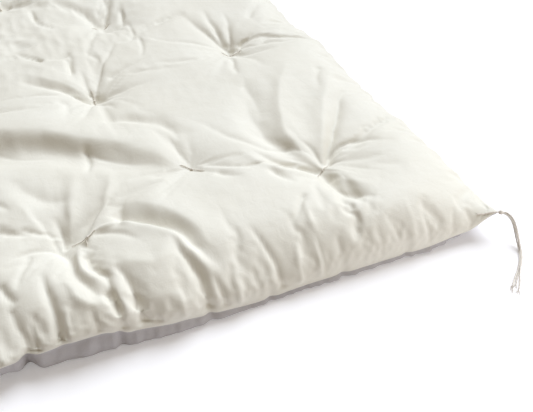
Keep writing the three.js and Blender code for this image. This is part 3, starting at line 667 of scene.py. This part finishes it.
def seamPinched(points, u, v):
    # the seam is pulled in between the two panels, but not at the ears
    ease = futonCase["pinchEases"]
    wall = edgeProfile(fromSeam(u, v)) * futonCase["wallHeight"]
    toCorner = np.hypot(*fromEdges(u, v))
    eased = 1 - ease["share"] * smooth((u - ease["start"]) / ease["over"]) * (v < 0)
    pinch = futonCase["seamPinch"] * eased * np.exp(-wall / futonCase["pinchHeight"])
    return drawnInwards(points, pinch * (1 - np.exp(-(toCorner / futonCase["earReach"]) ** 2)))


def drawnInwards(points, inset, share=1.0):
    # towards the middle by the inset, and down to a share of the height
    return points * np.stack([1 - inset / halfWidth, 1 - inset / halfLength, share + 0 * inset], -1)


def borderPlaces(rows, columns):
    # row and column of each point along the border, once round
    there = [(0, i) for i in range(columns - 1)] + [(j, columns - 1) for j in range(rows - 1)]
    back = [(rows - 1, i) for i in range(columns - 1, 0, -1)]
    return there + back + [(j, 0) for j in range(rows - 1, 0, -1)]


def ringEdges(mesh, ring):
    return [mesh.edges.get((ring[k], ring[(k + 1) % len(ring)])) for k in range(len(ring))]


def addUnderside(mesh, upper, seam, u, v):
    # the rings below the seam, and the edges of the last one
    fromSide, fromEnd = fromEdges(u, v)
    ear = np.exp(-(np.hypot(fromSide, fromEnd) / futonCase["earReach"]) ** 2)
    along = np.where(fromSide < fromEnd, v, u)
    pleats = uneven(along, cloth["pleat"], seeds["pleat"]) * (1 - ear)
    for ring in (dict(zip(undersideColumns, row)) for row in undersideRings):
        inset = ring["edgeInset"] + (ring["earInset"] - ring["edgeInset"]) * ear
        inset = inset + pleats * min(1, ring["edgeHigh"] * cloth["pleatFade"])
        share = ring["edgeHigh"] + (ring["earHigh"] - ring["edgeHigh"]) * ear
        lower = [mesh.verts.new(p * mm) for p in tuckedIn(drawnInwards(seam, inset, share))]
        for k in range(len(lower)):
            n = (k + 1) % len(lower)
            mesh.faces.new((upper[k], lower[k], lower[n], upper[n])).material_index = 1
        upper = lower
    return ringEdges(mesh, upper)


def addPit(mesh, tuft):
    spec = undersidePit
    sides, top = spec["sides"], spec["rings"][-1][1]
    rings = []
    for radius, rise in spec["rings"]:
        ring = []
        for k in range(sides):
            turn = 2 * math.pi * k / sides
            fold = spec["foldHeight"] * math.cos(spec["folds"] * turn + tuft["turn"])
            high = rise + fold * math.sin(math.pi * rise / top) if rise < top else rise
            place = (tuft["x"] + radius * math.cos(turn), tuft["y"] + radius * math.sin(turn), high)
            ring.append(mesh.verts.new(Vector(place) * mm))
        rings.append(ring)
    for outer, inner in zip(rings, rings[1:]):
        for k in range(sides):
            n = (k + 1) % sides
            mesh.faces.new((outer[k], outer[n], inner[n], inner[k])).material_index = 1
    mesh.faces.new(rings[-1]).material_index = 1
    return ringEdges(mesh, rings[0])


def makeFutonCase():
    points, u, v = makeUpperPanel()
    rows, columns = points.shape[:2]
    border = borderPlaces(rows, columns)
    at = tuple(np.array(border).T)
    case = addGrid("futonCase", tuckedIn(seamPinched(points, u, v)))
    mesh = bmesh.new()
    mesh.from_mesh(case.data)
    mesh.verts.ensure_lookup_table()
    upper = [mesh.verts[j * columns + i] for j, i in border]
    edges = addUnderside(mesh, upper, points[at], u[at], v[at])
    edges += [edge for tuft in tufts for edge in addPit(mesh, tuft)]
    for face in bmesh.ops.triangle_fill(mesh, use_beauty=True, edges=edges)["geom"]:
        if isinstance(face, bmesh.types.BMFace):
            face.material_index = 1
    bmesh.ops.recalc_face_normals(mesh, faces=mesh.faces)
    mesh.to_mesh(case.data)
    mesh.free()
    bpy.ops.object.shade_smooth()
    return case


def linear(hexColour):
    parts = [int(hexColour[k:k + 2], 16) / 255 for k in (1, 3, 5)]
    return [c / 12.92 if c <= 0.04045 else ((c + 0.055) / 1.055) ** 2.4 for c in parts] + [1]


def addNode(tree, kind, settings=None, links=None):
    node = tree.nodes.new(kind)
    for key, value in (settings or {}).items():
        if hasattr(node, key):
            setattr(node, key, value)
        else:
            node.inputs[key].default_value = value
    for key, source in (links or {}).items():
        tree.links.new(source, node.inputs[key])
    return node


def newMaterial(name):
    material = bpy.data.materials.new(name)
    material.use_nodes = True
    return material, material.node_tree, material.node_tree.nodes["Principled BSDF"]


# Sizes of the patterns in millimetres. The real weave has a thread every 0.2 mm and the real yarn
# fibres of 0.02 mm, too fine to show, so both are drawn as coarse as it needs to show.
sateenPattern = {
    "crease": 18.2,          # soft small creases of washed cotton
    "slub": 1.429,           # width of a slub
    "slubLength": 0.08,      # its width as a share of its length
    "thread": 1.14,          # from one diagonal line of floats to the next, on a level face
    "patch": 111.0,          # slow drift of the tone
}
yarnFibre = 0.625
lineSpacing = 2 * math.pi / (10 * math.sqrt(2))      # metres, of a diagonal wave pattern of scale 1


def perMetre(size, spacing=1.0):
    # the scale that draws a pattern at this size, where scale 1 draws it at the spacing
    return round(spacing / (size * mm))


def cottonSateen(name, colour, deeper):
    # woven cotton sateen: soft small creases, slubs along both directions of the weave, fine
    # threads and the sheen of long floats
    pattern = sateenPattern
    material, tree, shader = newMaterial(name)
    place = addNode(tree, "ShaderNodeTexCoord").outputs["Object"]
    creases = addNode(tree, "ShaderNodeTexNoise",
                      {"Scale": perMetre(pattern["crease"]), "Detail": 5, "Roughness": 0.55,
                       "Distortion": 0.6}, {"Vector": place})
    slubs = []
    for stretch in ((1, pattern["slubLength"], 1), (pattern["slubLength"], 1, 1)):
        drawn = addNode(tree, "ShaderNodeMapping", {"Scale": stretch}, {"Vector": place})
        slubs.append(addNode(tree, "ShaderNodeTexNoise",
                             {"Scale": perMetre(pattern["slub"]), "Detail": 3},
                             {"Vector": drawn.outputs["Vector"]}))
    weave = addNode(tree, "ShaderNodeMath", {"operation": "ADD"},
                    {0: slubs[0].outputs["Fac"], 1: slubs[1].outputs["Fac"]})
    threads = addNode(tree, "ShaderNodeTexWave",
                      {"Scale": perMetre(pattern["thread"], lineSpacing), "Distortion": 1.2,
                       "bands_direction": "DIAGONAL"}, {"Vector": place})
    rough = addNode(tree, "ShaderNodeBump", {"Strength": 0.4, "Distance": 0.0016},
                    {"Height": creases.outputs["Fac"]})
    fine = addNode(tree, "ShaderNodeBump", {"Strength": 0.16, "Distance": 0.0004},
                   {"Height": weave.outputs["Value"], "Normal": rough.outputs["Normal"]})
    finest = addNode(tree, "ShaderNodeBump", {"Strength": 0.08, "Distance": 0.0001},
                     {"Height": threads.outputs["Fac"], "Normal": fine.outputs["Normal"]})
    patches = addNode(tree, "ShaderNodeTexNoise",
                      {"Scale": perMetre(pattern["patch"]), "Detail": 6, "Roughness": 0.6},
                      {"Vector": place})
    both = addNode(tree, "ShaderNodeMath", {"operation": "MULTIPLY"},
                   {0: patches.outputs["Fac"], 1: weave.outputs["Value"]})
    tone = addNode(tree, "ShaderNodeMapRange", {"From Min": 0.25, "From Max": 0.75},
                   {"Value": both.outputs["Value"]})
    mix = addNode(tree, "ShaderNodeMix", {"data_type": "RGBA"}, {"Factor": tone.outputs["Result"]})
    mix.inputs[6].default_value, mix.inputs[7].default_value = linear(deeper), linear(colour)
    tree.links.new(mix.outputs[2], shader.inputs["Base Color"])
    tree.links.new(finest.outputs["Normal"], shader.inputs["Normal"])
    shader.inputs["Roughness"].default_value = 0.62
    shader.inputs["Specular IOR Level"].default_value = 0.35
    shader.inputs["Sheen Weight"].default_value = 0.25
    shader.inputs["Sheen Roughness"].default_value = 0.4
    return material


def twistedCotton(name, colour, deeper):
    # spun cotton thread: fine diagonal fibres and a fuzzy edge
    material, tree, shader = newMaterial(name)
    place = addNode(tree, "ShaderNodeTexCoord").outputs["Object"]
    fibres = addNode(tree, "ShaderNodeTexNoise",
                     {"Scale": perMetre(yarnFibre), "Detail": 3, "Distortion": 1.5}, {"Vector": place})
    bump = addNode(tree, "ShaderNodeBump", {"Strength": 0.4, "Distance": 0.0002},
                   {"Height": fibres.outputs["Fac"]})
    mix = addNode(tree, "ShaderNodeMix", {"data_type": "RGBA"}, {"Factor": fibres.outputs["Fac"]})
    mix.inputs[6].default_value, mix.inputs[7].default_value = linear(deeper), linear(colour)
    tree.links.new(mix.outputs[2], shader.inputs["Base Color"])
    tree.links.new(bump.outputs["Normal"], shader.inputs["Normal"])
    shader.inputs["Roughness"].default_value = 0.85
    shader.inputs["Sheen Weight"].default_value = 0.4
    return material


def finished(piece, materials, slot, *nodes):
    for material in materials:
        piece.data.materials.append(material)
    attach(piece, "root")
    if nodes:
        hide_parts(*nodes)


ivorySateen = cottonSateen("ivoryCottonSateen", "#f1eee4", "#ede9dd")
# painted shade: the underside is the same cotton as the top, coloured darker and lilac-grey for the
# shade it lies in below the seam
shadedUndersideSateen = cottonSateen("undersideCottonSateen", "#c9c5c6", "#c0bcbe")

case = makeFutonCase()
finished(case, (ivorySateen, shadedUndersideSateen), "cotton_sateen", "futon_body")
case.data.calc_loop_triangles()
print("futon case made,", len(case.data.loop_triangles), "triangles")

threadCotton = twistedCotton("twistedCottonThread", "#f4f0e9", "#dfd5c9")

# Thread: two plies wound round each other. Sizes in millimetres.
tieThread = {"ply": 0.42, "apart": 0.38, "turn": 4.2, "sides": 3}
tuftTie = {
    "knot": {"radius": 1.5, "rings": 3, "thick": 1.3, "lift": 1.3},
    "ends": ({"side": 1, "long": 17, "bow": 3, "swing": 28},
             {"side": -1, "long": 14, "bow": -4, "swing": 62}),
    "shorter": 0.6,          # share of an end's length where the knot lies away from the pinch
    "lift": 0.9,
    "points": 26,
    "fray": {"count": 5, "long": 3.2, "thick": 0.14, "open": 1.6},
}
cornerTassel = {
    "cord": {"ply": 0.68, "apart": 0.6, "turn": 5.4, "sides": 3},
    "cords": 4,
    "bundle": 1.7,           # how far a cord's middle line lies from the bundle's
    "wound": 0.55,           # turns of the cords round each other
    "flat": 0.8,             # the bundle is lower than it is wide
    "uneven": {"share": 0.4, "along": 9, "each": 1.7},
    "gathersOver": 0.06,     # share of the length over which the cords leave the knot
    "opening": 3.4,          # how much further apart the cut ends lie
    "opensFrom": 0.72,
    "shorter": 0.035,        # the ends are cut unevenly, in three lengths
    "points": 70,
    "knot": {"radius": 2.7, "rings": 4, "thick": 1.5},
    "stitch": {"start": 3, "long": 30, "lift": 0.6, "inX": 0.94, "inY": 0.34, "points": 44},
    "fray": {"count": 12, "long": 9, "thick": 0.16, "open": 3.4},
    # middle line of the bundle at the corner (+x, -y), from the knot to the floor
    "line": ((357, -602, 36), (363, -608, 35), (367, -616, 30), (368, -625, 21), (367, -634, 11.5),
             (365, -642, 5), (361, -650, 2.2), (352, -662, 1.8), (340, -674, 1.8), (326, -687, 1.8),
             (313, -700, 1.8)),
}
# What all frayed ends and all knots have in common
fibreShape = {"least": 0.75, "vary": 0.3, "opens": 1.5, "sinks": 0.6, "stray": 0.5, "points": 6}
knotShape = {"tilt": 1.37, "flat": 0.7, "points": 14}
feelRadius = 1.2             # a thread rests on the highest point this near to it
aboveAll = 200.0


def curveThrough(points, count, steps=12):
    # evenly spaced places on a smooth line through the points
    points = np.array(points, float)
    padded = np.vstack([2 * points[0] - points[1], points, 2 * points[-1] - points[-2]])
    dense = []
    for k in range(1, len(padded) - 2):
        a, b, c, d = padded[k - 1:k + 3]
        t = np.linspace(0, 1, steps, endpoint=False)[:, None]
        square, cube = 2 * a - 5 * b + 4 * c - d, 3 * b - a - 3 * c + d
        dense.append(0.5 * (2 * b + (c - a) * t + square * t ** 2 + cube * t ** 3))
    dense = np.vstack([*dense, points[-1:]])
    run = np.concatenate([[0], np.cumsum(np.linalg.norm(np.diff(dense, axis=0), axis=1))])
    at = np.linspace(0, run[-1], count)
    return np.stack([np.interp(at, run, dense[:, k]) for k in range(3)], -1), run[-1]


def sideways(line):
    # two directions across a line, level and upright
    ahead = np.gradient(line, axis=0)
    ahead /= np.linalg.norm(ahead, axis=1, keepdims=True)
    level = np.stack([ahead[:, 1], -ahead[:, 0], 0 * ahead[:, 0]], -1)
    level /= np.maximum(np.linalg.norm(level, axis=1, keepdims=True), 1e-6)
    return level, np.cross(level, ahead)


def plies(line, length, thread, shift=0.0):
    # two plies as helices round a line
    level, upright = sideways(line)
    turn = np.linspace(0, length / thread["turn"] * 2 * math.pi, len(line)) + shift
    twist = thread["apart"] * (level * np.cos(turn)[:, None] + upright * np.sin(turn)[:, None])
    return [(line + twist, thread["ply"]), (line - twist, thread["ply"])]


def frayedEnd(tip, ahead, fray, seed, ground):
    # single fibres that open out from a cut end and lie down on what is under them
    draw, shape = seededDraw(seed), fibreShape
    ahead = np.array(ahead) / np.linalg.norm(ahead)
    aside = np.array([-ahead[1], ahead[0], 0])
    t = np.linspace(0, 1, shape["points"])[:, None]
    fibres = []
    for _ in range(fray["count"]):
        long = fray["long"] * (shape["least"] + shape["vary"] * next(draw))
        opened = fray["open"] * next(draw)
        fibre = tip + ahead * long * t + aside * opened * t ** shape["opens"]
        under = np.array([ground(x, y) for x, y, _ in fibre])
        above = (tip[2] - under[0]) * (1 - shape["sinks"] * t[:, 0])
        above = above + shape["stray"] * next(draw) * t[:, 0]
        fibre[:, 2] = under + np.maximum(above, fray["thick"])
        fibres.append((fibre, fray["thick"]))
    return fibres


def knotLines(centre, knot, turn, ply):
    # a tight overhand knot: thread wound round itself
    radius, rings = knot["radius"], knot["rings"]
    t = np.linspace(0, 2 * math.pi * rings, knotShape["points"] * rings)
    tilt = t * knotShape["tilt"]
    x, y, z = np.cos(t) * radius, np.sin(t) * radius * np.cos(tilt), np.sin(t) * np.sin(tilt) * radius
    c, d = math.cos(turn), math.sin(turn)
    ring = np.stack([x * c - y * d, x * d + y * c, z * knotShape["flat"]], -1)
    return [(np.array(centre) + ring, ply * knot["thick"])]


def makeThreads(name, lines, sides, nodes):
    bpy.ops.object.select_all(action="DESELECT")
    bpy.ops.curve.primitive_nurbs_path_add()
    threads = bpy.context.object
    threads.name = name
    curve = threads.data
    curve.splines.clear()
    curve.dimensions = "3D"
    curve.bevel_depth = mm
    curve.bevel_resolution = sides - 2
    curve.use_fill_caps = True
    for line, radius in lines:
        spline = curve.splines.new("POLY")
        spline.points.add(len(line) - 1)
        places = np.hstack([np.array(line) * mm, np.ones((len(line), 1))])
        spline.points.foreach_set("co", places.ravel())
        spline.points.foreach_set("radius", np.full(len(line), radius))
    bpy.ops.object.convert(target="MESH")
    bpy.ops.object.shade_smooth()
    threads = bpy.context.object
    threads.location = (0, 0, 0)
    finished(threads, (threadCotton,), "cotton_thread", *nodes)


def faceHeight(x, y):
    # height of the finished upper face at a place
    found, place, _, _ = case.ray_cast(Vector((x, y, aboveAll)) * mm, Vector((0, 0, -1)))
    return place.z / mm if found else 0.0


def floorHeight(x, y):
    return 0.0


def highestNear(x, y):
    near = [(x + feelRadius * math.cos(k), y + feelRadius * math.sin(k)) for k in range(6)]
    return max(faceHeight(*spot) for spot in [(x, y)] + near)


def makeTuftTie(index, tuft):
    spec = tuftTie
    turn = math.radians(tuft["turn"])
    out = tuft["knotOut"]

    def onFace(x, y, lift=spec["lift"]):
        return x, y, highestNear(x, y) + lift

    def outTo(origin, direction, run, bow=0.0):
        x = origin[0] + run * math.cos(direction) - bow * math.sin(direction)
        return onFace(x, origin[1] + run * math.sin(direction) + bow * math.cos(direction))

    def addThread(places):
        line, length = curveThrough(places, spec["points"])
        lines.extend(plies(line, length, tieThread))
        return line

    centre = onFace(tuft["x"] + out * math.cos(turn), tuft["y"] + out * math.sin(turn),
                    spec["knot"]["lift"])
    lines = knotLines(centre, spec["knot"], turn, tieThread["ply"])
    if out:
        # the thread comes up in the pinch and reaches its knot further out
        addThread([outTo(centre, turn, -out * k / 5) for k in range(6)])
    for end in spec["ends"]:
        swing = turn + (math.radians(end["swing"]) if out else 0)
        long = end["side"] * end["long"] * (spec["shorter"] if out else 1)
        line = addThread([centre] + [outTo(centre, swing, long * k / 5, end["bow"] * (k / 5) ** 2)
                                     for k in range(1, 6)])
        lines += frayedEnd(line[-1], line[-1] - line[-3], spec["fray"], seeds["tie"] + index, faceHeight)
    makeThreads(f"tuftTie{index + 1}", lines, tieThread["sides"], [f"tuft_tie_{index + 1}"])


def tasselCord(middle, cord):
    # one cord of the bundle, wound round its middle line and open towards the cut end
    spec = cornerTassel
    level, upright = sideways(middle)
    share = np.linspace(0, 1, len(middle))
    wind = (2 * math.pi * (cord / spec["cords"] + spec["wound"] * share))[:, None]
    wave = spec["uneven"]
    out = spec["bundle"] * (1 + wave["share"] * np.sin(share * wave["along"] + cord * wave["each"]))
    out = (out * smooth(share / spec["gathersOver"]))[:, None]
    spread = spec["opening"] * smooth((share - spec["opensFrom"]) / (1 - spec["opensFrom"]))
    spread = spread * (cord / (spec["cords"] - 1) * 2 - 1)
    line = middle + (level * np.cos(wind) + upright * np.sin(wind) * spec["flat"]) * out
    line = line + level * spread[:, None]
    line = line[:int(len(line) * (1 - spec["shorter"] * ((cord * 2) % 3)))]
    line[:, 2] = np.maximum(line[:, 2], spec["cord"]["ply"] + spec["cord"]["apart"])
    return line


def makeCornerTassel(index, sideX, sideY):
    spec, stitch = cornerTassel, cornerTassel["stitch"]
    middle, length = curveThrough(np.array(spec["line"]) * (sideX, -sideY, 1), spec["points"])
    root = middle[0]
    lines = knotLines(root, spec["knot"], math.atan2(sideY, sideX), spec["cord"]["ply"])
    for cord in range(spec["cords"]):
        line = tasselCord(middle, cord)
        lines += plies(line, length, spec["cord"], cord)
        seed = seeds["tassel"] + 7 * index + cord
        lines += frayedEnd(line[-1], line[-1] - line[-4], spec["fray"], seed, floorHeight)
    places = [root + (0, 0, 1)]
    for k in range(1, 7):
        run = stitch["start"] + stitch["long"] * k / 6
        x, y = root[0] - sideX * run * stitch["inX"], root[1] - sideY * run * stitch["inY"]
        places.append((x, y, highestNear(x, y) + stitch["lift"]))
    line, length = curveThrough(places, stitch["points"])
    lines += plies(line, length, spec["cord"])
    makeThreads(f"cornerTassel{index + 1}", lines, spec["cord"]["sides"], [f"corner_tassel_{index + 1}"])


for index, tuft in enumerate(tufts):
    makeTuftTie(index, tuft)
for index, (sideX, sideY) in enumerate(((1, -1), (-1, -1), (-1, 1), (1, 1))):
    makeCornerTassel(index, sideX, sideY)
print("ties and tassels made")

studio = {
    "floor": "#efedf0",
    "floorGlow": 0.235,       # the white sweep is burnt out in the photograph
    "sky": 0.255,
    "skyColour": (1, 0.86, 0.68),
    "sun": {"from": (0.72, 0.66, 1.05), "strength": 3.35, "angle": 42, "colour": (0.85, 0.92, 1)},
    "fill": {"from": (0.62, -1.24, 0.16), "to": (0.12, -0.6, 0.03), "size": 0.4, "power": 2.4},
}


def makeStudio(spec):
    bpy.ops.mesh.primitive_plane_add(size=12, location=(0, 0, 0))
    floor = bpy.context.object
    floor.name = "studioFloor"
    material, tree, shader = newMaterial("whiteFloor")
    glow = addNode(tree, "ShaderNodeMath", {"operation": "MULTIPLY"},
                   {0: addNode(tree, "ShaderNodeLightPath").outputs["Is Camera Ray"]})
    glow.inputs[1].default_value = spec["floorGlow"]
    shader.inputs["Base Color"].default_value = linear(spec["floor"])
    shader.inputs["Roughness"].default_value = 0.9
    shader.inputs["Emission Color"].default_value = (1, 1, 1, 1)
    tree.links.new(glow.outputs["Value"], shader.inputs["Emission Strength"])
    floor.data.materials.append(material)
    world = bpy.data.worlds.new("studioSky")
    world.use_nodes = True
    world.node_tree.nodes["Background"].inputs["Color"].default_value = (*spec["skyColour"], 1)
    world.node_tree.nodes["Background"].inputs["Strength"].default_value = spec["sky"]
    bpy.context.scene.world = world
    bpy.ops.object.light_add(type="SUN", location=spec["sun"]["from"])
    light = bpy.context.object
    light.name = "windowLight"
    light.data.energy, light.data.color = spec["sun"]["strength"], spec["sun"]["colour"]
    light.data.angle = math.radians(spec["sun"]["angle"])
    light.rotation_euler = (-Vector(spec["sun"]["from"])).to_track_quat("-Z", "Y").to_euler()
    fill = spec["fill"]
    bpy.ops.object.light_add(type="AREA", location=fill["from"])
    card = bpy.context.object
    card.name = "fillCard"
    card.data.energy, card.data.size = fill["power"], fill["size"]
    aim = Vector(fill["to"]) - Vector(fill["from"])
    card.rotation_euler = aim.to_track_quat("-Z", "Y").to_euler()


makeStudio(studio)
bpy.context.scene.view_settings.view_transform = "Standard"
print("studio made")
